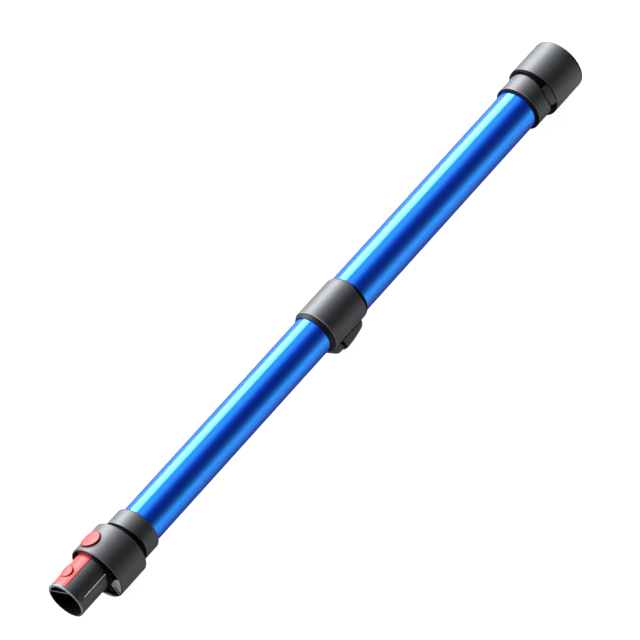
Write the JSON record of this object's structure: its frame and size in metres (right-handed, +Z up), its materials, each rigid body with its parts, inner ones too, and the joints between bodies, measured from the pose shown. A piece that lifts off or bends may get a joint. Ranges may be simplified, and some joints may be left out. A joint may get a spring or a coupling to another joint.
{
  "type": "telescopic vacuum wand",
  "caption": "Telescopic suction wand with a sliding lock sleeve and trigger, a plug-in spigot with latch and release button, and a tool socket.",
  "frame": {"origin": "on the floor, under the middle of the wand's overall box", "axes": "+X along the wand towards the tool socket, +Z up from the floor; the wand lies rolled onto its trigger, so its release button faces up and towards +Y"},
  "size_m": [0.6762, 0.0516, 0.051],
  "materials": {
    "blue_anodised": "anodised, glossy",
    "white_bush": "satin",
    "dark_plastic": "satin",
    "black_rubber": "matt",
    "red_plastic": "satin",
    "spring_steel": "bright",
    "steel": "bright",
    "black_plastic": "matt",
    "brass_contact": "bright",
    "felt": "felt",
    "gloss_black": "glossy"
  },
  "bodies": {
    "outer_wand": {"outer_tube": "blue_anodised", "lock_sleeve": "dark_plastic", "front_ring": "black_plastic", "felt_wiper": "felt", "guide_bush": "white_bush", "glide_liner": "white_bush", "trigger_pin": "steel", "pawl_pin": "steel", "pawl_spring": "spring_steel", "tool_cuff": "dark_plastic", "shoulder_insert_top": "gloss_black", "shoulder_insert_bottom": "gloss_black", "socket_seal": "black_rubber", "socket_contact_block": "black_plastic", "socket_contact_left": "brass_contact", "socket_contact_right": "brass_contact"},
    "inner_wand": {"inner_tube": "blue_anodised", "end_bush": "white_bush", "spigot_tube": "dark_plastic", "root_seal": "black_rubber", "machine_collar": "dark_plastic", "lever_spring": "spring_steel", "lever_pin": "steel", "contact_block": "black_plastic", "contact_blade_left": "brass_contact", "contact_blade_right": "brass_contact", "contact_screw": "steel"},
    "trigger": {"trigger": "dark_plastic"},
    "lock_pawl": {"lock_pawl": "black_plastic"},
    "release_lever": {"release_lever": "red_plastic"}
  },
  "joints": [
    {"name": "tube_slide", "type": "slide", "parent": "outer_wand", "child": "inner_wand", "axis": [1, 0, 0], "range_m": [0, 0.205]},
    {"name": "trigger_hinge", "type": "hinge", "parent": "outer_wand", "child": "trigger", "pos_m": [0.0208, -0.0146, 0.01123], "axis": [0, 0.6928, -0.7212], "range_deg": [0, 4.5], "stiffness_Nm_per_rad": 0.3, "springref_deg": -20.05, "deforming": ["pawl_spring"]},
    {"name": "pawl_hinge", "type": "hinge", "parent": "outer_wand", "child": "lock_pawl", "pos_m": [0.0098, -0.01503, 0.01081], "axis": [0, 0.6928, -0.7212], "range_deg": [0, 8.2], "stiffness_Nm_per_rad": 0.02, "springref_deg": -17.19},
    {"name": "release_hinge", "type": "hinge", "parent": "inner_wand", "child": "release_lever", "pos_m": [-0.2782, 0.01482, 0.03949], "axis": [0, -0.6928, 0.7212], "range_deg": [0, 2.5], "stiffness_Nm_per_rad": 0.4, "springref_deg": -5.73, "deforming": ["lever_spring"]}
  ],
  "couplings": [
    {"joint": "pawl_hinge", "follows": "trigger_hinge", "ratio": 1.8}
  ]
}
